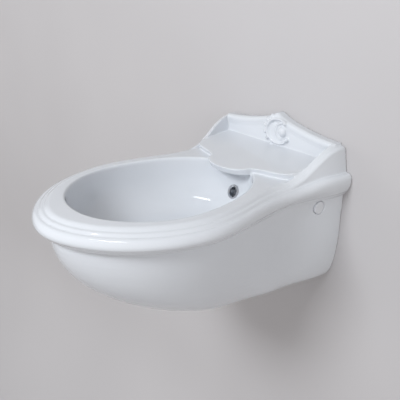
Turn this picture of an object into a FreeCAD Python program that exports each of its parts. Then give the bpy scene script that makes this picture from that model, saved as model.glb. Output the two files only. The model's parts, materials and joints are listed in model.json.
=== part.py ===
import FreeCAD
import Part
import Sketcher
import math
import os

# Wall-hung bidet: one glazed casting with a moulded rim, rising wings and a
# scrolled splash, its click waste, compact trap, overflow and concealed fixings.
# Millimetres. The wall is y = 0, the front is -Y, up is +Z, and z = 0 is the
# height of the two wall studs.

doc = FreeCAD.newDocument("bidet")
sheet = doc.addObject("Spreadsheet::Sheet", "Sizes")

SIZES = [
    # the casting, seen from above
    ("projection", 550),
    ("half_width", 194),
    ("waist_half_width", 163),
    ("wall_half_width", 183),
    ("widest_from_wall", 338),
    ("waist_from_wall", 140),
    ("nose_exponent", 1.82),
    ("rim_rise", 60),
    ("hull_depth", 237),
    ("china_thick", 12),
    # rim moulding, counted inwards and down from the outermost bead line
    ("bead_top_in", 13),
    ("bead_top_down", 10),
    ("bead_belly_down", 23),
    ("bead_foot_in", 9),
    ("bead_foot_down", 37),
    ("bead_rise", 13),
    ("bead_rise_from_wall", 45),
    ("neck_in", 26),
    ("neck_waist_in", 14),
    ("neck_wall_in", 17.5),
    ("neck_down", 47),
    ("line_out_in", 13),
    ("line_in_in", 21.5),
    ("line_down", 5.5),
    ("quirk_depth", 1.8),
    ("band_in", 54),
    # hull under the rim
    ("hull_mid_front", 205),
    ("floor_half_width", 83),
    ("floor_wall_half_width", 112),
    # bowl
    ("bowl_front", 486),
    ("bowl_rear", 126),
    ("bowl_half_width", 143),
    ("bowl_widest_from_wall", 330),
    ("bowl_depth", 104),
    ("bowl_floor_radius", 44),
    ("drain_from_wall", 264),
    # deck, wings and splash
    ("deck_front_height", 7),
    ("deck_back_height", 22),
    ("lip_underside", 5),
    ("lip_lean", 0.5),
    ("lobe_front", 177),
    ("cusp_half_spacing", 55),
    ("cusp_from_wall", 146),
    ("wing_thick", 17),
    ("wing_height", 56),
    ("wing_top_from_wall", 18),
    ("wing_foot_from_wall", 142),
    ("wing_lean", 8),
    ("wing_shoulder", 0.9),
    ("splash_thick", 23),
    ("splash_corner_height", 55),
    ("splash_peak_height", 86),
    ("splash_border", 9),
    ("splash_border_depth", 2),
    ("scroll_height", 45),
    ("scroll_half_width", 23),
    # waste
    ("hub_radius", 38),
    ("hub_thick", 26),
    ("waste_hole_radius", 22.5),
    ("tail_radius", 20.5),
    ("tail_bore_radius", 17.5),
    ("tail_length", 50),
    ("flange_radius", 32),
    ("flange_thick", 4),
    ("flange_seal_thick", 2),
    ("seat_clearance", 0.5),
    ("waste_seal_thick", 3),
    ("waste_nut_thick", 8),
    ("waste_nut_radius", 31),
    ("plug_radius", 28),
    ("plug_thick", 5),
    ("plug_travel", 8),
    ("stem_radius", 4),
    ("cartridge_radius", 9),
    ("cartridge_length", 30),
    ("slide_clearance", 0.3),
    ("spring_wire_radius", 0.7),
    # trap and outlet
    ("trap_radius", 38),
    ("trap_wall", 3),
    ("cup_height", 22),
    ("dip_radius", 16),
    ("pipe_radius", 16),
    ("pipe_wall", 1.5),
    ("outlet_drop", 126),
    ("inlet_nut_length", 18),
    ("nut_wall", 3),
    ("outlet_nut_radius", 26),
    ("outlet_nut_length", 22),
    ("outlet_nut_end", 4),
    ("outlet_seal_thick", 5),
    ("outlet_into_wall", 45),
    # overflow
    ("overflow_drop", 57),
    ("overflow_ring_radius", 14.5),
    ("overflow_bore_radius", 9.5),
    ("overflow_hole_radius", 12.2),
    ("duct_bore_radius", 8),
    # wall fixings
    ("stud_spacing", 180),
    ("stud_hole_radius", 6.5),
    ("bracket_thick", 6),
    ("bracket_width", 44),
    ("bracket_height", 40),
    ("bracket_reach", 80),
    ("washer_radius", 12),
    ("washer_thick", 2.5),
    ("stud_nut_radius", 10.4),
    ("stud_nut_thick", 10),
    ("side_screw_from_wall", 60),
    ("side_screw_radius", 4),
    ("screw_head_radius", 7),
    ("screw_head_thick", 4),
    ("screw_socket_radius", 2.6),
    ("sleeve_radius", 6.8),
    ("sleeve_length", 22),
    ("sleeve_flange_radius", 10.8),
    ("sleeve_flange_thick", 2.5),
    ("side_boss_radius", 21),
    ("side_recess", 9.5),
    ("side_cap_radius", 12.5),
    # clearances of pieces that are pushed, slid or dropped into place
    ("push_clearance", 0.1),
    ("slip_clearance", 0.2),
    ("loose_clearance", 0.3),
    ("cap_clearance", 0.4),
    ("boss_gap", 9.1),
    ("window_clearance", 14),
]

for row, (alias, number) in enumerate(SIZES, start=1):
    sheet.set("A%d" % row, alias)
    sheet.set("B%d" % row, str(number))
    sheet.setAlias("B%d" % row, alias)
doc.recompute()


class Size:
    """A number together with the sheet expression it comes from."""

    def __init__(self, number, text):
        self.number = float(number)
        self.text = text

    def __add__(self, other):
        other = as_size(other)
        return Size(self.number + other.number, "(%s + %s)" % (self.text, other.text))

    def __sub__(self, other):
        other = as_size(other)
        return Size(self.number - other.number, "(%s - %s)" % (self.text, other.text))

    def __rsub__(self, other):
        return as_size(other) - self

    def __mul__(self, factor):
        return Size(self.number * factor, "(%s * %s)" % (self.text, factor))

    __radd__ = __add__
    __rmul__ = __mul__


def as_size(thing):
    if isinstance(thing, Size):
        return thing
    return Size(thing, repr(float(thing)))


def size(alias):
    return Size(sheet.get(alias), "Sizes.%s" % alias)


def mm(alias):
    return float(sheet.get(alias))


V = FreeCAD.Vector
X_AXIS = V(1, 0, 0)
Y_AXIS = V(0, 1, 0)
Z_AXIS = V(0, 0, 1)
NODES = []


def node(thing, label):
    thing.Label = label
    NODES.append(thing)
    return thing


# Helpers for turned and boxed pieces, each bound to the sheet

def origin_plane(body, role):
    for feature in body.Origin.OriginFeatures:
        if feature.Role == role:
            return feature
    raise ValueError(role)


def turned_body(name, corners):
    """A body of revolution about its own Z from (radius, height) corners."""
    body = doc.addObject("PartDesign::Body", name)
    sketch = body.newObject("Sketcher::SketchObject", name + "_profile")
    sketch.AttachmentSupport = [(origin_plane(body, "XZ_Plane"), "")]
    sketch.MapMode = "FlatFace"
    corners = [(as_size(r), as_size(h)) for r, h in corners]
    count = len(corners)
    for i in range(count):
        r1, h1 = corners[i]
        r2, h2 = corners[(i + 1) % count]
        sketch.addGeometry(Part.LineSegment(V(r1.number, h1.number, 0), V(r2.number, h2.number, 0)), False)
    for i in range(count):
        sketch.addConstraint(Sketcher.Constraint("Coincident", i, 2, (i + 1) % count, 1))
    for i, (r, h) in enumerate(corners):
        across = sketch.addConstraint(Sketcher.Constraint("DistanceX", -1, 1, i, 1, r.number))
        sketch.setExpression("Constraints[%d]" % across, r.text)
        along = sketch.addConstraint(Sketcher.Constraint("DistanceY", -1, 1, i, 1, h.number))
        sketch.setExpression("Constraints[%d]" % along, h.text)
    turn = body.newObject("PartDesign::Revolution", name + "_turn")
    turn.Profile = sketch
    turn.ReferenceAxis = (sketch, ["V_Axis"])
    turn.Angle = 360.0
    body.Tip = turn
    doc.recompute()
    return body


def place(thing, base, axis=Z_AXIS, angle=0.0):
    thing.Placement = FreeCAD.Placement(base, FreeCAD.Rotation(axis, angle))
    return thing


def cylinder(name, radius, height, base, axis=Z_AXIS, angle=0.0):
    item = doc.addObject("Part::Cylinder", name)
    item.setExpression("Radius", as_size(radius).text)
    item.setExpression("Height", as_size(height).text)
    return place(item, base, axis, angle)


def box(name, length, width, height, base):
    item = doc.addObject("Part::Box", name)
    item.setExpression("Length", as_size(length).text)
    item.setExpression("Width", as_size(width).text)
    item.setExpression("Height", as_size(height).text)
    return place(item, base)


def hexagon(name, across_corners_radius, height, base, axis=Z_AXIS, angle=0.0):
    item = doc.addObject("Part::Prism", name)
    item.Polygon = 6
    item.setExpression("Circumradius", as_size(across_corners_radius).text)
    item.setExpression("Height", as_size(height).text)
    return place(item, base, axis, angle)


def cut(name, whole, tool):
    item = doc.addObject("Part::Cut", name)
    item.Base = whole
    item.Tool = tool
    return item


def fuse(name, parts):
    item = doc.addObject("Part::MultiFuse", name)
    item.Shapes = parts
    return item


def group(name, parts):
    item = doc.addObject("Part::Compound", name)
    item.Links = parts
    return item


# The casting. Heights inside these functions are counted from the rim top.

RIM = mm("rim_rise")
THICK = mm("china_thick")


def superellipse(angle, exponent):
    c = max(math.cos(angle), 0.0) ** (2.0 / exponent)
    s = max(math.sin(angle), 0.0) ** (2.0 / exponent)
    return c, s


def blend(a, b, t):
    return a + (b - a) * 0.5 * (1.0 - math.cos(math.pi * t))


def shrink(q, exponent):
    return max(0.0, 1.0 - q ** exponent) ** (1.0 / exponent)


def side_x(y, half, waist, wall, widest, waist_y):
    """Half width of the plan at a distance y from the wall, behind the widest line."""
    if y >= waist_y:
        return blend(waist, half, (y - waist_y) / (widest - waist_y))
    return blend(wall, waist, y / waist_y)


SIDE_STEPS = 7
NOSE_STEPS = 4


def plan_points(half, waist, wall, front, rear_y, nose):
    """The violin outline from the right-hand wall edge round the front to the left."""
    waist_y = mm("waist_from_wall")
    widest = mm("widest_from_wall") - 0.4 * max(0.0, mm("projection") - front)
    widest = max(widest, waist_y + 40.0)
    right = []
    for i in range(SIDE_STEPS + 1):
        y = rear_y + (widest - rear_y) * (i / SIDE_STEPS) ** 1.45
        right.append((side_x(y, half, waist, wall, widest, waist_y), y))
    for i in range(1, NOSE_STEPS + 1):
        c, s = superellipse(math.pi / 2 * i / NOSE_STEPS, nose)
        right.append((half * c, widest + (front - widest) * s))
    return right + [(-x, y) for x, y in reversed(right[:-1])]


def rim_points(inset):
    return plan_points(
        mm("half_width") - inset, mm("waist_half_width") - inset, mm("wall_half_width") - inset,
        mm("projection") - inset, 0.0, mm("nose_exponent"))


def chord_steps(points):
    """Running chord lengths, so that every line of a loft shares one set of knots."""
    steps = [0.0]
    for a, b in zip(points[:-1], points[1:]):
        steps.append(steps[-1] + math.hypot(b[0] - a[0], b[1] - a[1]))
    return [s / steps[-1] for s in steps]


PLAN_STEPS = chord_steps(rim_points(0.0))


def ogee(y, height, top):
    """A rise that is full from the wall to top and gone at the foot of the wings."""
    t = min(1.0, max(0.0, (y - top) / (mm("wing_foot_from_wall") - top)))
    return blend(height, 0.0, t ** mm("wing_shoulder"))


def level(y):
    return 0.0


def wing_rise(y):
    return ogee(y, mm("wing_height"), mm("wing_top_from_wall"))


def wing_lean(y):
    return ogee(y, mm("wing_lean"), mm("wing_top_from_wall"))


def bead_rise(y):
    return ogee(y, mm("bead_rise"), mm("bead_rise_from_wall"))


def half_bead_rise(y):
    return 0.5 * bead_rise(y)


def open_line(points, height, rise=level):
    """A smooth line over plan points; rise carries it up near the wall."""
    curve = Part.BSplineCurve()
    places = [V(x, -y, RIM + height + rise(y)) for x, y in points]
    curve.interpolate(Points=places, Parameters=PLAN_STEPS)
    return curve.toShape()


def ring(inset, down, rise=level, lean=level):
    """The rim's outline, moved inwards and down from its outermost line."""
    points = [(x - math.copysign(lean(y), x), y) for x, y in rim_points(inset)]
    return open_line(points, -down, rise)


def wing_ring(inset, down):
    """A line of the rim's top that climbs the wings."""
    return ring(inset, down, wing_rise, wing_lean)


def hull_ring(angle, inset, rear_y, lift=0.0):
    """One level of the hull: angle 0 is the neck under the rim, 90 degrees the underside."""
    q = math.sin(angle)
    drop = mm("neck_down") + (mm("hull_depth") - mm("neck_down")) * q
    floor = mm("floor_half_width")
    floor_wall = mm("floor_wall_half_width")
    half = floor + (mm("half_width") - mm("neck_in") - floor) * shrink(q, 1.82)
    waist = floor + (mm("waist_half_width") - mm("neck_waist_in") - floor) * shrink(q, 3.6)
    wall = floor_wall + (mm("wall_half_width") - mm("neck_wall_in") - floor_wall) * shrink(q, 3.1)
    mid = mm("hull_mid_front")
    front = mid + (mm("projection") - mm("neck_in") - mid) * shrink(q, 2.0)
    nose = mm("nose_exponent") + 0.2 * q
    points = plan_points(half - inset, waist - inset, wall - inset, front - inset, rear_y, nose)
    return open_line(points, lift * q - drop)


HULL_ANGLES = [math.radians(a) for a in (0, 22, 44, 62, 75, 83)]


def closing_line(edge):
    return Part.makeLine(edge.valueAt(edge.LastParameter), edge.valueAt(edge.FirstParameter))


def stack(courses):
    """One solid from courses of open lines that meet line to line, closed flat behind."""
    faces = []
    for lines in courses:
        faces += Part.makeLoft([Part.Wire([line]) for line in lines], False, len(lines) == 2).Faces
    rear = [edge for face in faces for edge in face.Edges if edge.BoundBox.YLength < 0.01]
    for line in (courses[0][0], courses[-1][-1]):
        closer = closing_line(line)
        faces.append(Part.Face(Part.Wire([line, closer])))
        rear.append(closer)
    faces.append(Part.Face(Part.Wire(Part.__sortEdges__(rear))))
    shell = Part.makeShell(faces)
    shell.sewShape()
    solid = Part.Solid(shell.Shells[0])
    if solid.Volume < 0:
        solid.reverse()
    return solid


def outer_solid():
    """Band and wings, double line, bead, hollow and hull, from the rim top down."""
    line_in = mm("line_in_in")
    line_out = mm("line_out_in")
    line_down = mm("line_down")
    quirk = mm("quirk_depth")
    bead_in = mm("bead_top_in")
    bead_top = mm("bead_top_down")
    belly = mm("bead_belly_down")
    foot_in = mm("bead_foot_in")
    foot = mm("bead_foot_down")
    inner = line_out + mm("wing_thick")
    ledge = [ring(mm("band_in"), 0), ring(inner, 0.4, level, wing_lean)]
    inner_face = [ledge[-1], wing_ring(inner - 2.0, 1.0)]
    band = [inner_face[-1], wing_ring(0.5 * (inner + line_in), 2.2), wing_ring(line_in, line_down)]
    groove = [band[-1], wing_ring(line_in - 0.9, line_down + quirk)]
    line = [groove[-1], wing_ring(line_in - 2.2, line_down + 0.2)]
    line_top = [line[-1], wing_ring(line_in - 4.6, line_down + 0.8)]
    line_edge = [line_top[-1], wing_ring(line_out, bead_top - 0.4)]
    crease = [line_edge[-1], ring(bead_in + 0.7, bead_top + quirk, bead_rise)]
    bead = [crease[-1], ring(0.3 * bead_in, bead_top + 4.2, bead_rise), ring(0, belly, bead_rise),
            ring(0.24 * foot_in, 0.5 * (belly + foot), half_bead_rise), ring(foot_in, foot)]
    lip = [bead[-1], ring(foot_in + 2.2, foot + 0.8)]
    lip_edge = [lip[-1], ring(foot_in + 3.2, foot + 3.6)]
    neck = hull_ring(0, 0.0, 0.0)
    hollow = [lip_edge[-1], neck]
    hull = [neck] + [hull_ring(angle, 0.0, 0.0) for angle in HULL_ANGLES[1:]]
    return stack([ledge, inner_face, band, groove, line, line_top, line_edge, crease, bead, lip, lip_edge,
                  hollow, hull])


def hollow_solid():
    """The space inside the hull, up to well over the bowl's shell."""
    rear = THICK + 3.0
    rings = [hull_ring(angle, THICK, rear, THICK) for angle in HULL_ANGLES]
    top = plan_points(
        mm("half_width") - mm("neck_in") - THICK, mm("waist_half_width") - mm("neck_waist_in") - THICK,
        mm("wall_half_width") - mm("neck_wall_in") - THICK, mm("projection") - mm("neck_in") - THICK,
        rear, mm("nose_exponent"))
    return stack([[open_line(top, -30.0), rings[0]], rings])


def splash_top(x, drop=0.0):
    """Height of the splash outline over the rim: hollow flanks up to a round peak."""
    corner = mm("splash_corner_height")
    peak = mm("splash_peak_height")
    t = min(1.0, abs(x) / (0.86 * mm("wall_half_width")))
    flank = (1.0 - t) ** 1.75
    crown = math.exp(-(x / 17.0) ** 2)
    return corner + (peak - corner) * (0.86 * flank + 0.14 * crown) - drop


SPLASH_STEPS = 16


def splash_slab(drop, depth, start=0.0):
    """The splash outline, lowered by drop, from start to depth in front of the wall."""
    half = mm("wall_half_width") - mm("line_in_in") - mm("wing_lean") - 2.0
    low = -mm("bead_belly_down")
    top = []
    for i in range(SPLASH_STEPS + 1):
        t = 2.0 * i / SPLASH_STEPS - 1.0
        x = half * t * abs(t) ** 0.4
        top.append(V(x, -start, RIM + splash_top(x, drop)))
    curve = Part.BSplineCurve()
    curve.interpolate(top)
    corners = [top[-1], V(half, -start, RIM + low), V(-half, -start, RIM + low), top[0]]
    wire = Part.Wire([curve.toShape()] + Part.makePolygon(corners).Edges)
    return Part.Face(wire).extrude(V(0, start - depth, 0))


def splash_solid():
    """A slab with an eased top edge, a stepped border and a sunk panel."""
    depth = mm("splash_thick")
    border = mm("splash_border")
    step = mm("splash_border_depth")
    body = splash_slab(0.0, depth - 5.0)
    body = body.fuse([splash_slab(1.8, depth - 1.6), splash_slab(4.4, depth)])
    return body.cut([splash_slab(border + 2.0, depth + 1.0, depth - 0.5 * step),
                     splash_slab(border + 7.0, depth + 1.0, depth - step)])


def medallion():
    """The oval ground of the splash's carving."""
    y = mm("splash_border_depth") - mm("splash_thick") + 1.0
    centre = V(0, y, RIM + mm("scroll_height"))
    long_r = mm("scroll_half_width")
    short_r = 0.86 * long_r
    pieces = []
    for grow, proud in ((0.0, 2.6), (-2.5, 4.0)):
        oval = Part.Ellipse(V(0, 0, 0), long_r + grow, short_r + grow)
        oval.Center = centre
        oval.Axis = V(0, -1, 0)
        pieces.append(Part.Face(Part.Wire([oval.toShape()])).extrude(V(0, -proud, 0)))
    return pieces


def deck_solid():
    """The raised ledge with its lobed, undercut front lip, falling towards the bowl."""
    cusp_x = mm("cusp_half_spacing")
    cusp_y = mm("cusp_from_wall")
    lobe_y = mm("lobe_front")
    inner = mm("wing_thick") + mm("line_out_in") - 3.0
    back_half = mm("wall_half_width") - inner
    waist_half = mm("waist_half_width") - inner
    arm = [(cusp_x, cusp_y), (cusp_x + 18, cusp_y - 9), (cusp_x + 42, cusp_y - 15),
           (waist_half - 4, cusp_y - 33), (waist_half + 3, cusp_y - 58), (back_half - 4, 40),
           (back_half, 10)]
    lobe_half = [(0, lobe_y), (0.36 * cusp_x, lobe_y - 2.0), (0.7 * cusp_x, lobe_y - 9.0),
                 (0.92 * cusp_x, lobe_y - 20.0), (cusp_x, cusp_y)]
    lobe = [(-x, y) for x, y in reversed(lobe_half[1:])] + lobe_half
    low = RIM - mm("lip_underside")
    lean = mm("lip_lean")
    set_back = lean * (mm("lip_underside") + mm("deck_front_height"))

    def spline(pairs):
        curve = Part.BSplineCurve()
        curve.interpolate([V(x, set_back - y, low) for x, y in pairs])
        return curve.toShape()

    right = spline(arm)
    left = spline([(-x, y) for x, y in reversed(arm)])
    back_y = set_back - 10
    back = Part.makeLine(V(back_half, back_y, low), V(-back_half, back_y, low))
    plan = Part.Face(Part.Wire([spline(lobe), right, back, left]))
    block = plan.extrude(V(0, -60 * lean, 60))
    end_x = -mm("half_width")
    above = RIM + mm("splash_peak_height")
    side = [V(end_x, -lobe_y - 5, RIM + mm("deck_front_height")),
            V(end_x, 0, RIM + mm("deck_back_height")),
            V(end_x, 0, above), V(end_x, -lobe_y - 5, above)]
    wedge = Part.Face(Part.makePolygon(side + side[:1])).extrude(V(-2 * end_x, 0, 0))
    return block.cut(wedge)


BOWL_POINTS = 12


def bowl_section(q, grow, height):
    g = shrink(q, 2.5)
    floor = mm("bowl_floor_radius")
    drain = mm("drain_from_wall")
    half = floor + (mm("bowl_half_width") - floor) * g + grow
    front = drain + floor + (mm("bowl_front") - drain - floor) * g + grow
    rear = drain - floor - (drain - floor - mm("bowl_rear")) * g - grow
    middle = drain + (mm("bowl_widest_from_wall") - drain) * g
    points = []
    for i in range(BOWL_POINTS):
        a = 2 * math.pi * i / BOWL_POINTS
        y = middle + (front - middle if math.cos(a) > 0 else middle - rear) * math.cos(a)
        points.append(V(half * math.sin(a), -y, RIM + height))
    curve = Part.BSplineCurve()
    steps = [i / BOWL_POINTS for i in range(BOWL_POINTS + 1)]
    curve.interpolate(Points=points, PeriodicFlag=True, Parameters=steps)
    return Part.Wire([curve.toShape()])


BOWL_STEPS = (0.07, 0.3, 0.52, 0.7, 0.84, 0.94, 0.985, 1.0)


def bowl_solid():
    depth = mm("bowl_depth")
    lead = [(4.0, 6.0), (2.6, 1.0), (1.2, -1.6), (0.2, -4.0)]
    wires = [bowl_section(0.0, grow, height) for grow, height in lead]
    wires += [bowl_section(q, 0.0, -depth * q) for q in BOWL_STEPS]
    return Part.makeLoft(wires, True, False)


def bowl_shell():
    """The bowl with its china thickness added, used to bound the hollow below it."""
    depth = mm("bowl_depth")
    wires = [bowl_section(0.0, THICK, 2.0)]
    wires += [bowl_section(q, THICK * (1.0 - 0.25 * q), -depth * q - THICK * q) for q in BOWL_STEPS]
    return Part.makeLoft(wires, True, False)


def overflow_seat():
    """Point and outward normal of the bowl's back wall at the overflow height."""
    q = mm("overflow_drop") / mm("bowl_depth")

    def rear(f):
        floor = mm("bowl_floor_radius")
        drain = mm("drain_from_wall")
        return drain - floor - (drain - floor - mm("bowl_rear")) * shrink(f, 2.5)

    step = 0.02
    slope = (rear(q + step) - rear(q - step)) / (2 * step * mm("bowl_depth"))
    point = V(0, -rear(q), RIM - mm("overflow_drop"))
    normal = V(0, -1.0, slope)
    normal.normalize()
    return point, normal


def tube_run(points, radius):
    """Straight runs of round passage that overrun each other at the bends."""
    pieces = []
    last = len(points) - 2
    for i, (a, b) in enumerate(zip(points[:-1], points[1:])):
        run = b - a
        along = V(run).normalize() * radius
        start = a if i == 0 else a - along
        end = b if i == last else b + along
        pieces.append(Part.makeCylinder(radius, (end - start).Length, start, run))
    return pieces


DRAIN_Y = -mm("drain_from_wall")
BOWL_FLOOR = RIM - mm("bowl_depth")
HUB_FOOT = BOWL_FLOOR - mm("hub_thick")
SEAT, SEAT_NORMAL = overflow_seat()
DUCT_Z = BOWL_FLOOR - 0.5 * mm("hub_thick") - 2.0
DUCT_Y = SEAT.y + 0.5 * THICK + 16.0
SIDE_Y = -mm("side_screw_from_wall")
SIDE_X = side_x(mm("side_screw_from_wall"), mm("half_width") - mm("neck_in"),
                mm("waist_half_width") - mm("neck_waist_in"), mm("wall_half_width") - mm("neck_wall_in"),
                mm("widest_from_wall"), mm("waist_from_wall"))
RECESS_X = SIDE_X - mm("side_recess")
BOSS_START = SIDE_X - 4.0
ARM_OUT = 0.5 * (mm("stud_spacing") + mm("bracket_width"))
BOSS_LONG = BOSS_START - ARM_OUT - mm("boss_gap")
OUTLET_Z = -mm("outlet_drop")


def casting():
    solid = outer_solid().fuse(splash_solid())
    solid = solid.cut(bowl_solid())
    solid = solid.fuse([deck_solid()] + medallion())
    # hollow between bowl and hull, open at the wall and under the trap
    hub = Part.makeCylinder(mm("hub_radius"), mm("hub_thick") + 4, V(0, DRAIN_Y, HUB_FOOT))
    duct_end = V(0, DRAIN_Y + mm("hub_radius") - 4, DUCT_Z)
    duct_path = [SEAT, V(0, DUCT_Y, SEAT.z), V(0, DUCT_Y, DUCT_Z), duct_end]
    keep = [bowl_shell(), hub] + tube_run(duct_path, mm("duct_bore_radius") + 6.5)
    for side in (1, -1):
        start = V(side * BOSS_START, SIDE_Y, 0)
        keep.append(Part.makeCylinder(mm("side_boss_radius"), BOSS_LONG, start, V(-side, 0, 0)))
    hollow = hollow_solid().cut(keep)
    window_half = ARM_OUT + mm("window_clearance")
    window_foot = OUTLET_Z - mm("pipe_radius") - 10
    window = Part.makeBox(2 * window_half, 17, 28 - window_foot, V(-window_half, -16, window_foot))
    slot_front = DRAIN_Y - 4
    slot_rear = -112
    slot_r = mm("trap_radius") + 22
    slot_z = RIM - mm("hull_depth") - 20
    slot = [Part.makeCylinder(slot_r, 60, V(0, y, slot_z)) for y in (slot_front, slot_rear)]
    slot.append(Part.makeBox(2 * slot_r, slot_rear - slot_front, 60, V(-slot_r, slot_front, slot_z)))
    drills = [
        Part.makeCylinder(mm("waste_hole_radius"), 80, V(0, DRAIN_Y, HUB_FOOT - 20)),
        Part.makeCylinder(mm("flange_radius") + 1.0, 20, V(0, DRAIN_Y, BOWL_FLOOR - 4.0)),
        Part.makeCylinder(mm("overflow_hole_radius"), 30, SEAT + SEAT_NORMAL * 8, SEAT_NORMAL * -1),
        Part.makeCylinder(mm("waste_hole_radius") + 7, 12, V(0, DRAIN_Y, DUCT_Z - 6)),
        Part.makeCylinder(mm("overflow_ring_radius") + mm("cap_clearance"), 20, SEAT, SEAT_NORMAL),
    ]
    duct_bore = duct_path[1:-1] + [V(0, DRAIN_Y + mm("waste_hole_radius"), DUCT_Z)]
    drills += tube_run(duct_bore, mm("duct_bore_radius"))
    sleeve_hole = mm("sleeve_radius") + mm("slip_clearance")
    cap_hole = mm("side_cap_radius") + mm("cap_clearance")
    for side in (1, -1):
        drills.append(Part.makeCylinder(sleeve_hole, 60, V(side * SIDE_X, SIDE_Y, 0), V(-side, 0, 0)))
        drills.append(Part.makeCylinder(cap_hole, 40, V(side * RECESS_X, SIDE_Y, 0), V(side, 0, 0)))
    solid = solid.cut([hollow, window] + slot + drills)
    return solid.Solids[0]


body = doc.addObject("Part::Feature", "ceramic_body")
body.Shape = casting()
node(body, "ceramic_body")

# Overflow ring, square to the bowl's sloping back wall

lean = math.degrees(math.atan2(SEAT_NORMAL.y, SEAT_NORMAL.z))
ring_bore = size("overflow_bore_radius")
ring_sleeve = size("overflow_hole_radius") - size("loose_clearance")
ring_edge = size("overflow_ring_radius")
SLEEVE = 12.0
ring = turned_body("overflow_ring", [
    (ring_bore, 0), (ring_sleeve, 0), (ring_sleeve, SLEEVE), (ring_edge, SLEEVE),
    (ring_edge, SLEEVE + 1.6), (ring_edge - 1.2, SLEEVE + 2.8), (ring_bore + 1.4, SLEEVE + 2.8),
    (ring_bore, SLEEVE + 1.4)])
place(ring, SEAT - SEAT_NORMAL * SLEEVE, X_AXIS, -lean)
node(ring, "overflow_ring")

# Click waste, from the bowl floor down

RECESS_FLOOR = BOWL_FLOOR - 4.0
FLANGE_FOOT = RECESS_FLOOR + mm("flange_seal_thick")
FLANGE_TOP = FLANGE_FOOT + mm("flange_thick")
TAIL_FOOT = FLANGE_FOOT - mm("tail_length")
tail = size("tail_radius")
bore = size("tail_bore_radius")
seat_gap = size("seat_clearance")

seal = turned_body("flange_seal", [
    (size("waste_hole_radius") + seat_gap, 0), (size("flange_radius") - 1.0, 0),
    (size("flange_radius") - 1.0, size("flange_seal_thick")),
    (size("waste_hole_radius") + seat_gap, size("flange_seal_thick"))])
node(place(seal, V(0, DRAIN_Y, RECESS_FLOOR)), "flange_seal")

long = size("tail_length")
disc = size("flange_thick")
tube = turned_body("waste_tube", [
    (bore, 0), (tail, 0), (tail, long), (size("flange_radius"), long),
    (size("flange_radius"), long + disc * 0.4), (size("flange_radius") - 2.0, long + disc),
    (bore + 4.5, long + disc), (bore, long + disc * 0.2)])
place(tube, V(0, DRAIN_Y, TAIL_FOOT))
WEB_FOOT = DUCT_Z - 1.0
web_bar = box("web_bar", bore * 2 + 2.0, 6, 4, V(-bore.number - 1.0, DRAIN_Y - 3, WEB_FOOT))
web_ring = cylinder("web_ring", size("cartridge_radius") + 3.0, 4, V(0, DRAIN_Y, WEB_FOOT))
web_hole = cylinder("web_hole", size("cartridge_radius") + size("push_clearance"), 20,
                    V(0, DRAIN_Y, WEB_FOOT - 8))
slots = []
for number, side in enumerate((1, -1)):
    y = DRAIN_Y + side * (bore.number + 1.5) - 4
    slots.append(box("overflow_slot_%d" % number, 16, 8, 10, V(-8, y, DUCT_Z - 5)))
waste = cut("waste_body", fuse("waste_whole", [tube, web_bar, web_ring]),
            fuse("waste_cuts", [web_hole] + slots))
node(waste, "waste_body")

ring_in = tail + size("loose_clearance")
under_seal = turned_body("waste_seal", [
    (ring_in, 0), (tail + 12.5, 0), (tail + 11.0, size("waste_seal_thick")),
    (ring_in, size("waste_seal_thick"))])
SEAL_FOOT = HUB_FOOT - mm("waste_seal_thick")
node(place(under_seal, V(0, DRAIN_Y, SEAL_FOOT)), "waste_seal")
NUT_FOOT = SEAL_FOOT - mm("waste_nut_thick")
nut_hex = hexagon("waste_nut_hex", size("waste_nut_radius"), size("waste_nut_thick"),
                  V(0, DRAIN_Y, NUT_FOOT))
nut_bore = cylinder("waste_nut_bore", tail + size("push_clearance"), 40, V(0, DRAIN_Y, NUT_FOOT - 10))
node(cut("waste_nut", nut_hex, nut_bore), "waste_nut")

# Plug, stem, spring and the click cartridge they work in

SEAL_RING = 1.5
PLUG_FOOT = FLANGE_TOP + SEAL_RING
plug_r = size("plug_radius")
thick = size("plug_thick")
STEM_REACH = 22.5
plug = turned_body("waste_plug", [
    (size("stem_radius") + 0.05, 0), (6, 0), (6, 5.5), (plug_r - 1.5, 5.5), (plug_r, 5.5 + 1.2),
    (plug_r - 1.0, thick * 0.5 + 5.5), (plug_r * 0.75, thick * 0.82 + 5.5),
    (plug_r * 0.4, thick * 0.96 + 5.5), (0, thick + 5.5), (0, thick + 1.0),
    (size("stem_radius") + 0.05, thick + 1.0)])
node(place(plug, V(0, DRAIN_Y, PLUG_FOOT - 5.5)), "waste_plug")
plug_ring = turned_body("plug_seal", [
    (bore + 5.0, 0), (plug_r - 2.5, 0), (plug_r - 2.5, SEAL_RING), (bore + 5.0, SEAL_RING)])
node(place(plug_ring, V(0, DRAIN_Y, FLANGE_TOP)), "plug_seal")

CART_TOP = FLANGE_TOP - 6.0
CART_FOOT = CART_TOP - mm("cartridge_length")
cart_r = size("cartridge_radius")
cart_l = size("cartridge_length")
slide = size("slide_clearance")
cartridge = turned_body("click_cartridge", [
    (0, 0), (cart_r, 0), (cart_r, cart_l), (size("stem_radius") + slide, cart_l),
    (size("stem_radius") + slide, cart_l - 3.0), (cart_r - 1.8, cart_l - 3.0), (cart_r - 1.8, 3), (0, 3)])
node(place(cartridge, V(0, DRAIN_Y, CART_FOOT)), "click_cartridge")

COLLAR_TOP = CART_TOP - 3.0 - mm("plug_travel") - 1.0
COLLAR = 3.0
stem_len = PLUG_FOOT + 1.0 - 5.5 + mm("plug_thick") - (COLLAR_TOP - COLLAR)
collar_r = cart_r - 1.8 - slide
stem = turned_body("plug_stem", [
    (0, 0), (collar_r, 0), (collar_r, COLLAR), (size("stem_radius"), COLLAR),
    (size("stem_radius"), stem_len), (0, stem_len)])
node(place(stem, V(0, DRAIN_Y, COLLAR_TOP - COLLAR)), "plug_stem")

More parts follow.
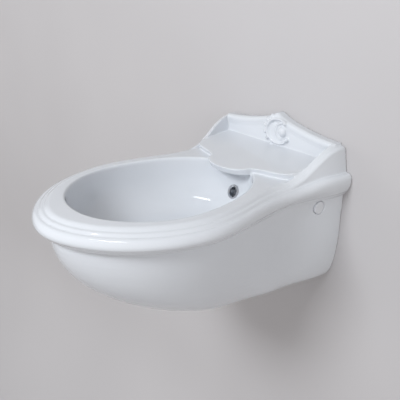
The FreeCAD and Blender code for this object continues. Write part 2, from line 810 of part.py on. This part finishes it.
wire_r = mm("spring_wire_radius")
coil_r = mm("cartridge_radius") - 1.8 - 0.5 - wire_r
spring_space = COLLAR_TOP - COLLAR - (CART_FOOT + 3.0)
coil_height = spring_space - 2 * wire_r - 0.1
TURNS = 4
COIL_STEPS = 10
WIRE_SIDES = 8


def wire_section(turn):
    """The spring's wire, drawn as a polygon across the coil at a number of turns up."""
    angle = 2 * math.pi * turn
    outwards = V(math.cos(angle), math.sin(angle), 0)
    middle = outwards * coil_r + V(0, 0, coil_height * turn / TURNS)
    corners = []
    for i in range(WIRE_SIDES):
        a = 2 * math.pi * (i + 0.5) / WIRE_SIDES
        corners.append(middle + outwards * (wire_r * math.cos(a)) + V(0, 0, wire_r * math.sin(a)))
    return Part.makePolygon(corners + corners[:1])


wire_sections = [wire_section(i / COIL_STEPS) for i in range(COIL_STEPS * TURNS + 1)]
spring = doc.addObject("Part::Feature", "plug_spring")
spring.Shape = Part.makeLoft(wire_sections, True, False)
node(place(spring, V(0, DRAIN_Y, CART_FOOT + 3.0 + wire_r + 0.05)), "plug_spring")

# Compact bottle trap under the waste, and the outlet to the wall

INLET_SEAL = 2.0
COLLAR_HIGH = 3.0
trap_r = size("trap_radius")
shell = size("trap_wall")
dip = size("dip_radius")
DIP_TOP = TAIL_FOOT - INLET_SEAL
CUP_FOOT = RIM - mm("hull_depth") + 5.0
DIP_FOOT = CUP_FOOT + 7.0
HEAD_TOP = DIP_TOP - COLLAR_HIGH - 5.0
HEAD_FOOT = CUP_FOOT + mm("cup_height") - 2.0
h_top = HEAD_TOP - DIP_FOOT
h_foot = HEAD_FOOT - DIP_FOOT
h_collar = DIP_TOP - COLLAR_HIGH - DIP_FOOT
h_end = DIP_TOP - DIP_FOOT

inlet_seal = turned_body("trap_inlet_seal", [
    (dip + 0.3, 0), (tail - 0.2, 0), (tail - 0.2, INLET_SEAL), (dip + 0.3, INLET_SEAL)])
node(place(inlet_seal, V(0, DRAIN_Y, DIP_TOP)), "trap_inlet_seal")

head = turned_body("trap_head", [
    (dip - 2.0, 0), (dip, 0), (dip, as_size(h_top) - shell), (trap_r - shell, as_size(h_top) - shell),
    (trap_r - shell, h_foot), (trap_r, h_foot), (trap_r, h_top - 3.0), (trap_r - 3.0, h_top),
    (dip, h_top), (dip, h_collar), (tail - 0.2, h_collar), (tail - 0.2, h_end), (dip - 2.0, h_end)])
place(head, V(0, DRAIN_Y, DIP_FOOT))
STUB_START = DRAIN_Y + mm("trap_radius") - 2.0
STUB_LONG = 26.0
SOCKET = 18.0
pipe_r = size("pipe_radius")
stub = cylinder("outlet_stub", pipe_r + 3.0, STUB_LONG, V(0, STUB_START, OUTLET_Z), X_AXIS, -90)
stub_bore = cylinder("outlet_stub_bore", pipe_r - size("pipe_wall"), STUB_LONG + 8,
                     V(0, STUB_START - 3, OUTLET_Z), X_AXIS, -90)
socket = cylinder("outlet_socket", pipe_r + size("slip_clearance"), SOCKET + 1,
                  V(0, STUB_START + STUB_LONG - SOCKET, OUTLET_Z), X_AXIS, -90)
trap = cut("trap_body", fuse("trap_whole", [head, stub]), fuse("trap_cuts", [stub_bore, socket]))
node(trap, "trap_body")

nut_wall = size("nut_wall")
nut_low = DIP_TOP - COLLAR_HIGH - mm("nut_wall")
nut_long = size("inlet_nut_length")
inlet_nut = turned_body("trap_inlet_nut", [
    (dip + 0.3, 0), (tail + 6.5, 0), (tail + 6.5, nut_long - nut_wall), (tail + 4.5, nut_long),
    (tail + 0.1, nut_long), (tail + 0.1, nut_wall), (dip + 0.3, nut_wall)])
node(place(inlet_nut, V(0, DRAIN_Y, nut_low)), "trap_inlet_nut")

cup_h = size("cup_height")
cup = turned_body("trap_cup", [
    (0, 0), (trap_r - 9.0, 0), (trap_r - 1.0, 6), (trap_r - 1.0, cup_h - 14.0),
    (trap_r + 3.0, cup_h - 12.0), (trap_r + 3.0, cup_h + 4.5), (trap_r + 0.2, cup_h + 4.5),
    (trap_r + 0.2, cup_h - 4.5),
    (trap_r - shell, cup_h - 4.5), (trap_r - shell - 1.0, 8), (trap_r - 11.0, 3), (0, 3)])
node(place(cup, V(0, DRAIN_Y, CUP_FOOT)), "trap_cup")
cup_seal = turned_body("trap_cup_seal", [
    (trap_r - shell + 0.2, 0), (trap_r, 0), (trap_r, 2.5), (trap_r - shell + 0.2, 2.5)])
node(place(cup_seal, V(0, DRAIN_Y, CUP_FOOT + mm("cup_height") - 4.5)), "trap_cup_seal")

STUB_END = STUB_START + STUB_LONG
seal_long = size("outlet_seal_thick")
outlet_seal = turned_body("outlet_seal", [
    (pipe_r + 0.1, 0), (pipe_r + 3.0, 0), (pipe_r + 2.0, seal_long), (pipe_r + 0.1, seal_long)])
node(place(outlet_seal, V(0, STUB_END, OUTLET_Z), X_AXIS, -90), "outlet_seal")
out_r = size("outlet_nut_radius")
out_long = size("outlet_nut_length")
out_seat = out_long - size("outlet_nut_end")
outlet_nut = turned_body("outlet_nut", [
    (pipe_r + 3.1, 0), (out_r, 0), (out_r, out_long - 5.0), (out_r - 3.0, out_long),
    (pipe_r + 0.3, out_long), (pipe_r + 0.3, out_seat), (pipe_r + 3.1, out_seat)])
nut_start = STUB_END + seal_long.number - out_seat.number
node(place(outlet_nut, V(0, nut_start, OUTLET_Z), X_AXIS, -90), "outlet_nut")

PIPE_START = STUB_END - SOCKET + 0.5
FREE_END = 60.0
BEAD = 6.0
reach = -PIPE_START + size("outlet_into_wall")
pipe_in = pipe_r - size("pipe_wall")
pipe = turned_body("outlet_pipe", [
    (pipe_in, 0), (pipe_r, 0), (pipe_r, reach - FREE_END - BEAD),
    (pipe_r + 2.0, reach - FREE_END - BEAD + 2.0), (pipe_r + 2.0, reach - FREE_END - 2.0),
    (pipe_r, reach - FREE_END), (pipe_r, reach), (pipe_in, reach)])
node(place(pipe, V(0, PIPE_START, OUTLET_Z), X_AXIS, -90), "outlet_pipe")

# Concealed wall fixings, left and right

half_stud = mm("stud_spacing") * 0.5
foot_in = half_stud - 0.5 * mm("bracket_width")
foot_wide = ARM_OUT - foot_in
tall = size("bracket_height")
plate = size("bracket_thick")
washers = []
nuts = []
screws = []
NAMES = {1: "right", -1: "left"}
SCREW_PAST = 4.0
stud_r = size("stud_hole_radius")
push = size("push_clearance")
loose = size("loose_clearance")
for side in (1, -1):
    name = NAMES[side]
    low_x = foot_in if side > 0 else -ARM_OUT
    arm_x = ARM_OUT - mm("bracket_thick") if side > 0 else -ARM_OUT
    down = -mm("bracket_height") * 0.5
    foot = box("bracket_foot_" + name, foot_wide, plate, tall, V(low_x, -mm("bracket_thick"), down))
    arm = box("bracket_arm_" + name, plate, size("bracket_reach"), tall,
              V(arm_x, -mm("bracket_reach"), down))
    stud_hole = cylinder("stud_hole_" + name, stud_r, 20, V(side * half_stud, 5, 0), X_AXIS, 90)
    screw_hole = cylinder("screw_hole_" + name, size("side_screw_radius") + push, 30,
                          V(arm_x - 10, SIDE_Y, 0), Y_AXIS, 90)
    bracket = cut("bracket_" + name, fuse("bracket_angle_" + name, [foot, arm]),
                  fuse("bracket_holes_" + name, [stud_hole, screw_hole]))
    node(bracket, "bracket_" + name)
    washer = turned_body("stud_washer_" + name, [
        (stud_r + push, 0), (size("washer_radius"), 0), (size("washer_radius"), size("washer_thick")),
        (stud_r + push, size("washer_thick"))])
    washers.append(place(washer, V(side * half_stud, -mm("bracket_thick"), 0), X_AXIS, 90))
    hex_nut = hexagon("stud_nut_hex_" + name, size("stud_nut_radius"), size("stud_nut_thick"),
                      V(side * half_stud, -mm("bracket_thick") - mm("washer_thick"), 0), X_AXIS, 90)
    hex_bore = cylinder("stud_nut_bore_" + name, stud_r - size("slip_clearance"), 30,
                        V(side * half_stud, 5, 0), X_AXIS, 90)
    nuts.append(cut("stud_nut_" + name, hex_nut, hex_bore))
    turn = 90 * side
    head_seat = RECESS_X + mm("sleeve_flange_thick")
    shank = head_seat - (ARM_OUT - mm("bracket_thick") - SCREW_PAST)
    screw_r = size("side_screw_radius")
    head_r = size("screw_head_radius")
    head_top = shank + size("screw_head_thick")
    socket_r = size("screw_socket_radius")
    screw = turned_body("side_screw_" + name, [
        (0, 0), (screw_r, 0), (screw_r, shank), (head_r, shank), (head_r, head_top - 1.5),
        (head_r - 2.0, head_top), (socket_r, head_top), (socket_r, head_top - 2.5), (0, head_top - 2.5)])
    screws.append(place(screw, V(side * (head_seat - shank), SIDE_Y, 0), Y_AXIS, turn))
    sleeve_r = size("sleeve_radius")
    sleeve_long = size("sleeve_length")
    sleeve_edge = size("sleeve_flange_radius")
    sleeve_end = sleeve_long + size("sleeve_flange_thick")
    sleeve = turned_body("side_sleeve_" + name, [
        (screw_r + loose, 0), (sleeve_r, 0), (sleeve_r, sleeve_long), (sleeve_edge, sleeve_long),
        (sleeve_edge, sleeve_end), (screw_r + loose, sleeve_end)])
    sleeve_start = side * (RECESS_X - mm("sleeve_length"))
    node(place(sleeve, V(sleeve_start, SIDE_Y, 0), Y_AXIS, turn), "side_sleeve_" + name)
    cap_r = size("side_cap_radius")
    crown = SIDE_X - RECESS_X + 1.2
    cap = turned_body("side_cap_" + name, [
        (cap_r - 1.3, 0), (cap_r, 0), (cap_r, crown - 1.2), (cap_r - 1.5, crown - 0.3), (0, crown),
        (0, crown - 3.0), (cap_r - 1.3, crown - 3.0)])
    node(place(cap, V(side * RECESS_X, SIDE_Y, 0), Y_AXIS, turn), "side_cap_" + name)

node(group("stud_washers", washers), "stud_washers")
node(group("stud_nuts", nuts), "stud_nuts")
node(group("side_screws", screws), "side_screws")

doc.recompute()
for item in doc.Objects:
    if "Invalid" in item.State or "Error" in item.State:
        raise RuntimeError("%s did not build: %s" % (item.Label, item.State))
os.makedirs("parts", exist_ok=True)
for item in NODES:
    if item.Shape.isNull() or not item.Shape.isValid():
        raise RuntimeError("%s has no valid shape" % item.Label)
    item.Shape.exportStep("parts/%s.step" % item.Label)
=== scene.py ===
"""Looks of the wall-hung bidet: glazed china, chrome and plastic trim, a pale wall and soft light."""

import json
import math

import bmesh
import bpy
from mathutils import Matrix, Vector


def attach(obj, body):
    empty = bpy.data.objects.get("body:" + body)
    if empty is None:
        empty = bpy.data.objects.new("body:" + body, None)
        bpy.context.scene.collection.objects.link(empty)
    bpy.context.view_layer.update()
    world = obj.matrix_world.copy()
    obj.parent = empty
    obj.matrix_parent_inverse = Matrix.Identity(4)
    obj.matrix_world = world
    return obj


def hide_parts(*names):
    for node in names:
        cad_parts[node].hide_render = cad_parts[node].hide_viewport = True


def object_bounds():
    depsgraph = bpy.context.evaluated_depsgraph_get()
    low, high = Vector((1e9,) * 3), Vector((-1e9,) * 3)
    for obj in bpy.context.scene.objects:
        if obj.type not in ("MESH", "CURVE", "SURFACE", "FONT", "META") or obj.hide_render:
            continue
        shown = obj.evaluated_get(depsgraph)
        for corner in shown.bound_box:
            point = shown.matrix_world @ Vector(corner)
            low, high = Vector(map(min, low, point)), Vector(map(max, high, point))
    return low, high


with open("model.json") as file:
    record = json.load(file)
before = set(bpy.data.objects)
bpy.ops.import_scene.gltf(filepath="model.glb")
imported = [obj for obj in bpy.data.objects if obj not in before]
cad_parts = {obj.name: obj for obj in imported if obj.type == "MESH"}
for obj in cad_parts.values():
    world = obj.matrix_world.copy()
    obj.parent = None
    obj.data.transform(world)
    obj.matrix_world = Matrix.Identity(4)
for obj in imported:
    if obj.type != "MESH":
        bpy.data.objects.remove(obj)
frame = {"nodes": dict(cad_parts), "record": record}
nodes = frame["nodes"]
part_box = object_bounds()
scene = bpy.context.scene

MM = 0.001


# Materials

NOISE_LOW = 0.3
NOISE_HIGH = 0.7
TONE_DETAIL = 3.0
WEAR_DETAIL = 4.0
WEAR_PER_TONE = 4.0
RELIEF_DETAIL = 2.0


def new_material(name):
    """A material, its node tree and its main shader."""
    material = bpy.data.materials.new(name)
    material.use_nodes = True
    tree = material.node_tree
    return material, tree, tree.nodes["Principled BSDF"]


def object_noise(tree, scale, detail):
    """Noise that is fixed to the object, with its scale per metre."""
    place = tree.nodes.new("ShaderNodeTexCoord")
    noise = tree.nodes.new("ShaderNodeTexNoise")
    noise.inputs["Scale"].default_value = scale
    noise.inputs["Detail"].default_value = detail
    tree.links.new(place.outputs["Object"], noise.inputs["Vector"])
    return noise.outputs["Fac"]


def spread(tree, noise, low, high):
    """The noise's middle range, spread from low to high."""
    spread_node = tree.nodes.new("ShaderNodeMapRange")
    spread_node.inputs["From Min"].default_value = NOISE_LOW
    spread_node.inputs["From Max"].default_value = NOISE_HIGH
    spread_node.inputs["To Min"].default_value = low
    spread_node.inputs["To Max"].default_value = high
    tree.links.new(noise, spread_node.inputs["Value"])
    return spread_node.outputs["Result"]


def two_tones(tree, noise, dark, light):
    """The noise's middle range as a run from a dark tone to a light one."""
    ramp = tree.nodes.new("ShaderNodeValToRGB")
    ramp.color_ramp.elements[0].position = NOISE_LOW
    ramp.color_ramp.elements[0].color = (*dark, 1)
    ramp.color_ramp.elements[1].position = NOISE_HIGH
    ramp.color_ramp.elements[1].color = (*light, 1)
    tree.links.new(noise, ramp.inputs["Fac"])
    return ramp.outputs["Color"]


def add_bump(tree, shader, noise, height, strength):
    """A fine relief on the shader, raised by a noise."""
    bump = tree.nodes.new("ShaderNodeBump")
    bump.inputs["Distance"].default_value = height
    bump.inputs["Strength"].default_value = strength
    tree.links.new(noise, bump.inputs["Height"])
    tree.links.new(bump.outputs["Normal"], shader.inputs["Normal"])


def surface(name, dark, light, rough, tone_scale, metal=0.0, relief=None, glaze=None):
    """A finish with two close tones and a spread of roughness, and a relief or a glaze if it has one."""
    material, tree, shader = new_material(name)
    tones = object_noise(tree, tone_scale, TONE_DETAIL)
    tree.links.new(two_tones(tree, tones, dark, light), shader.inputs["Base Color"])
    wear = object_noise(tree, WEAR_PER_TONE * tone_scale, WEAR_DETAIL)
    tree.links.new(spread(tree, wear, *rough), shader.inputs["Roughness"])
    shader.inputs["Metallic"].default_value = metal
    if relief:
        scale, height, strength = relief
        add_bump(tree, shader, object_noise(tree, scale, RELIEF_DETAIL), height, strength)
    if glaze:
        for socket, value in glaze.items():
            shader.inputs[socket].default_value = value
    return material


# A relief is its scale, height and strength
LOOKS = {
    "china": dict(
        dark=(0.66, 0.69, 0.735), light=(0.685, 0.715, 0.755), rough=(0.07, 0.11), tone_scale=5.0,
        relief=(16.0, 0.0006, 0.12), glaze={"IOR": 1.52, "Coat Weight": 0.35, "Coat Roughness": 0.04}),
    "chrome": dict(
        dark=(0.60, 0.61, 0.63), light=(0.70, 0.71, 0.73), rough=(0.06, 0.14), tone_scale=60.0, metal=1.0),
    "brass": dict(
        dark=(0.52, 0.38, 0.16), light=(0.62, 0.47, 0.22), rough=(0.22, 0.36), tone_scale=60.0, metal=1.0),
    "rubber": dict(
        dark=(0.018, 0.018, 0.019), light=(0.032, 0.032, 0.033), rough=(0.6, 0.8), tone_scale=90.0,
        relief=(900.0, 0.0002, 0.3)),
    "trap_plastic": dict(
        dark=(0.70, 0.70, 0.69), light=(0.76, 0.76, 0.75), rough=(0.30, 0.42), tone_scale=40.0,
        relief=(600.0, 0.0002, 0.15)),
    "cap_plastic": dict(
        dark=(0.70, 0.725, 0.765), light=(0.73, 0.75, 0.79), rough=(0.16, 0.24), tone_scale=40.0),
    "sleeve_plastic": dict(
        dark=(0.55, 0.56, 0.57), light=(0.62, 0.63, 0.64), rough=(0.4, 0.5), tone_scale=60.0),
    "zinc": dict(
        dark=(0.50, 0.51, 0.52), light=(0.62, 0.63, 0.64), rough=(0.30, 0.50), tone_scale=120.0, metal=1.0),
    "spring_steel": dict(
        dark=(0.40, 0.41, 0.42), light=(0.52, 0.53, 0.54), rough=(0.22, 0.34), tone_scale=200.0, metal=1.0),
}
finishes = {name: surface(name, **look) for name, look in LOOKS.items()}

for part in frame["record"]["subparts"]:
    mesh = nodes[part["node"]].data
    mesh.materials.clear()
    mesh.materials.append(finishes[part["material_slot"]])


# The casting: the solid's own shape, with the carving laid on and all edges softened by the glaze

RIM_TOP = 0.060
CARVING_GROUND = -0.0225
WELD_DISTANCE = 0.00002
GLAZE_CELL = 0.0014
GLAZE_PULL = 0.5
GLAZE_ROUNDS = 7

# The carving, in millimetres and degrees: a place is across the splash and over the rim top, a reach is an
# oval's half width and half height, and a size is a lump's half width, half height and depth
BOSS_PLACE = (20.0, 51.0)
BOSS_SIZE = (10.0, 10.5, 8.5)
INNER_ROLL = dict(reach=(17.0, 17.5), start=75.0, end=258.0, thick=2.4, steps=26)
SCROLL_PLACE = (9.0, 50.0)
SCROLL = dict(reach=(30.0, 25.0), start=52.0, end=325.0, thick=3.6, steps=44)
UPPER_TIP_PLACE = (26.5, 69.0)
UPPER_TIP_SIZE = (4.6, 4.4, 7.5)
LOWER_TIP_PLACE = (33.0, 36.5)
LOWER_TIP_SIZE = (4.4, 4.2, 7.5)
PETAL_REACH = (37.0, 30.5)
PETAL_SIZE = (7.0, 4.0, 5.0)
PETAL_ANGLES = range(118, 246, 25)
ROLL_DEPTH = 2.1
LUMP_FINENESS = 3


def lump(mesh, place, size, turn=0.0):
    """A rounded lump of clay on the splash's face."""
    across, up = place
    half_width, half_height, depth = size
    shape = Matrix.Diagonal((MM * half_width, MM * depth, MM * half_height, 1.0))
    spin = Matrix.Rotation(math.radians(turn), 4, "Y")
    spot = Matrix.Translation(Vector((MM * across, CARVING_GROUND, RIM_TOP + MM * up)))
    bmesh.ops.create_icosphere(mesh, subdivisions=LUMP_FINENESS, radius=1.0, matrix=spot @ spin @ shape)


def on_oval(place, reach, degrees):
    """The point of an oval around a place, at an angle."""
    angle = math.radians(degrees)
    return place[0] + reach[0] * math.cos(angle), place[1] + reach[1] * math.sin(angle)


def lay_roll(mesh, place, reach, start, end, thick, steps):
    """An open oval roll that thins towards both ends, laid as a row of overlapping lumps."""
    for i in range(steps + 1):
        share = i / steps
        radius = thick * (0.5 + 0.5 * math.sin(math.pi * share))
        point = on_oval(place, reach, start + (end - start) * share)
        lump(mesh, point, (radius, radius, ROLL_DEPTH * radius))


def carve(mesh):
    """A round boss held by an open scroll, with a thin inner roll and petals along the scroll's back."""
    lump(mesh, BOSS_PLACE, BOSS_SIZE)
    lay_roll(mesh, BOSS_PLACE, **INNER_ROLL)
    lay_roll(mesh, SCROLL_PLACE, **SCROLL)
    lump(mesh, UPPER_TIP_PLACE, UPPER_TIP_SIZE)
    lump(mesh, LOWER_TIP_PLACE, LOWER_TIP_SIZE)
    for angle in PETAL_ANGLES:
        lump(mesh, on_oval(SCROLL_PLACE, PETAL_REACH, angle), PETAL_SIZE, -angle)


def softened_casting():
    """The solid with its carving, remeshed as one skin and smoothed."""
    shape = bmesh.new()
    shape.from_mesh(nodes["ceramic_body"].data)
    bmesh.ops.remove_doubles(shape, verts=shape.verts, dist=WELD_DISTANCE)
    carve(shape)
    mesh = bpy.data.meshes.new("china_casting")
    shape.to_mesh(mesh)
    shape.free()
    casting = bpy.data.objects.new("china_casting", mesh)
    scene.collection.objects.link(casting)
    cells = casting.modifiers.new("one skin", "REMESH")
    cells.mode = "VOXEL"
    cells.voxel_size = GLAZE_CELL
    cells.use_smooth_shade = True
    glaze = casting.modifiers.new("glaze", "SMOOTH")
    glaze.factor = GLAZE_PULL
    glaze.iterations = GLAZE_ROUNDS
    mesh.materials.append(finishes["china"])
    return casting


casting = softened_casting()
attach(casting, "bidet")
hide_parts("ceramic_body")


# Stage: a pale wall that runs in a wide cove into a pale floor

WALL_GAP = 0.0005
WALL_TOP = 2.6
WALL_BELOW_PART = 0.45
WALL_FOOT = part_box[0][2] - WALL_BELOW_PART
COVE = 0.6
COVE_STEPS = 24
HALF_STAGE = 12.0
FLOOR_REACH = 4.0

PAINT_DARK = (0.505, 0.495, 0.505)
PAINT_LIGHT = (0.53, 0.52, 0.53)
PAINT_ROUGH = 0.85
PAINT_TONE_SCALE = 1.6
PAINT_TONE_DETAIL = 2.0
GRAIN_SCALE = 220.0
GRAIN_DETAIL = 3.0
GRAIN_HEIGHT = 0.0004
GRAIN_STRENGTH = 0.15


def backdrop():
    """The side view of a wall, a quarter-round cove under it and a floor, as points from the top down."""
    profile = [(WALL_GAP, WALL_TOP), (WALL_GAP, WALL_FOOT)]
    for i in range(1, COVE_STEPS + 1):
        angle = math.pi / 2 * i / COVE_STEPS
        profile.append((WALL_GAP - COVE * (1.0 - math.cos(angle)), WALL_FOOT - COVE * math.sin(angle)))
    profile.append((-FLOOR_REACH, WALL_FOOT - COVE))
    return profile


def sheet(name, profile, half_width):
    """A smooth sheet that follows a side view and is as wide on both sides of the middle."""
    mesh = bpy.data.meshes.new(name)
    points = []
    faces = []
    for y, z in profile:
        points += [(-half_width, y, z), (half_width, y, z)]
    for i in range(len(profile) - 1):
        faces.append((2 * i, 2 * i + 2, 2 * i + 3, 2 * i + 1))
    mesh.from_pydata(points, [], faces)
    for face in mesh.polygons:
        face.use_smooth = True
    made = bpy.data.objects.new(name, mesh)
    scene.collection.objects.link(made)
    return made


def seen_rays(tree):
    """1 for the rays that show what they meet: from the camera, in a reflection or through glass."""
    rays = tree.nodes.new("ShaderNodeLightPath")
    seen = rays.outputs["Is Camera Ray"]
    for kind in ("Is Glossy Ray", "Is Transmission Ray"):
        either = tree.nodes.new("ShaderNodeMath")
        either.operation = "MAXIMUM"
        tree.links.new(seen, either.inputs[0])
        tree.links.new(rays.outputs[kind], either.inputs[1])
        seen = either.outputs["Value"]
    return seen


def one_sided(tree, shader):
    """Paint that is seen from its front only. Views from behind and light on the part pass through it."""
    side = tree.nodes.new("ShaderNodeNewGeometry")
    shown = tree.nodes.new("ShaderNodeMath")
    shown.operation = "SUBTRACT"
    shown.use_clamp = True
    clear = tree.nodes.new("ShaderNodeBsdfTransparent")
    blend = tree.nodes.new("ShaderNodeMixShader")
    tree.links.new(seen_rays(tree), shown.inputs[0])
    tree.links.new(side.outputs["Backfacing"], shown.inputs[1])
    tree.links.new(shown.outputs["Value"], blend.inputs["Fac"])
    tree.links.new(clear.outputs["BSDF"], blend.inputs[1])
    tree.links.new(shader.outputs["BSDF"], blend.inputs[2])
    tree.links.new(blend.outputs["Shader"], tree.nodes["Material Output"].inputs["Surface"])


def wall_paint():
    """Matt paint with two close tones and a fine grain."""
    paint, tree, shader = new_material("wall_paint")
    tones = object_noise(tree, PAINT_TONE_SCALE, PAINT_TONE_DETAIL)
    tree.links.new(two_tones(tree, tones, PAINT_DARK, PAINT_LIGHT), shader.inputs["Base Color"])
    shader.inputs["Roughness"].default_value = PAINT_ROUGH
    add_bump(tree, shader, object_noise(tree, GRAIN_SCALE, GRAIN_DETAIL), GRAIN_HEIGHT, GRAIN_STRENGTH)
    one_sided(tree, shader)
    return paint


studio = sheet("studio", backdrop(), HALF_STAGE)
studio.data.materials.append(wall_paint())


# Light

AIR_BELOW = (0.42, 0.402, 0.396, 1)
AIR_LEVEL = (0.56, 0.54, 0.535, 1)
AIR_ABOVE = (0.28, 0.273, 0.272, 1)
FAR_WALL = (0.53, 0.525, 0.535, 1)
LAMPS_FACE = Vector((0.0, -0.27, 0.0))


def studio_air():
    """Soft light that changes with height, behind an even pale tone for the rays that are seen."""
    world = bpy.data.worlds.new("studio_air")
    world.use_nodes = True
    tree = world.node_tree
    place = tree.nodes.new("ShaderNodeTexCoord")
    parts = tree.nodes.new("ShaderNodeSeparateXYZ")
    height = tree.nodes.new("ShaderNodeMapRange")
    height.inputs["From Min"].default_value = -1.0
    tones = tree.nodes.new("ShaderNodeValToRGB")
    tones.color_ramp.elements[0].color = AIR_BELOW
    tones.color_ramp.elements[1].color = AIR_ABOVE
    tones.color_ramp.elements.new(0.5).color = AIR_LEVEL
    air = tree.nodes["Background"]
    far_wall = tree.nodes.new("ShaderNodeBackground")
    far_wall.inputs["Color"].default_value = FAR_WALL
    blend = tree.nodes.new("ShaderNodeMixShader")
    tree.links.new(place.outputs["Generated"], parts.inputs["Vector"])
    tree.links.new(parts.outputs["Z"], height.inputs["Value"])
    tree.links.new(height.outputs["Result"], tones.inputs["Fac"])
    tree.links.new(tones.outputs["Color"], air.inputs["Color"])
    tree.links.new(seen_rays(tree), blend.inputs["Fac"])
    tree.links.new(air.outputs["Background"], blend.inputs[1])
    tree.links.new(far_wall.outputs["Background"], blend.inputs[2])
    tree.links.new(blend.outputs["Shader"], tree.nodes["World Output"].inputs["Surface"])
    return world


def looking_back(direction):
    """The turn of a lamp or camera that stands in a direction and looks back along it."""
    return Vector(direction).to_track_quat("Z", "Y").to_euler()


def soft_box(name, direction, distance, size, power, tint=(1.0, 1.0, 1.0), shines=False):
    """A soft lamp that faces the part, with or without a reflection in the glaze."""
    lamp = bpy.data.lights.new(name, "AREA")
    lamp.shape = "RECTANGLE"
    lamp.size, lamp.size_y = size
    lamp.energy = power
    lamp.color = tint
    holder = bpy.data.objects.new(name, lamp)
    holder.location = LAMPS_FACE + Vector(direction).normalized() * distance
    holder.rotation_euler = looking_back(direction)
    holder.visible_glossy = shines
    scene.collection.objects.link(holder)


scene.world = studio_air()
soft_box("key", direction=(0.07, -0.80, 0.60), distance=3.3, size=(1.3, 0.9), power=73.0,
         tint=(0.95, 0.975, 1.0))
soft_box("side", direction=(0.93, -0.30, 0.20), distance=3.5, size=(1.6, 1.6), power=20.0)
soft_box("far", direction=(-0.82, -0.57, 0.08), distance=3.0, size=(1.6, 1.2), power=10.5)
soft_box("strip", direction=(0.08, -0.50, 0.86), distance=3.0, size=(1.3, 0.10), power=10.0, shines=True)


# Camera

CAMERA_PLACE = (0.8581, -0.9229, 0.4586)
CAMERA_STANDS = (0.7171, -0.5862, 0.377)
SENSOR_WIDTH = 36.0
LENS = 56.24
SIGHT = 30.0

camera = bpy.data.cameras.new("photo_camera")
camera.sensor_width = SENSOR_WIDTH
camera.lens = LENS
camera.clip_end = SIGHT
viewer = bpy.data.objects.new("photo_camera", camera)
viewer.location = CAMERA_PLACE
viewer.rotation_euler = looking_back(CAMERA_STANDS)
scene.collection.objects.link(viewer)
scene.camera = viewer
scene.view_settings.view_transform = "Standard"
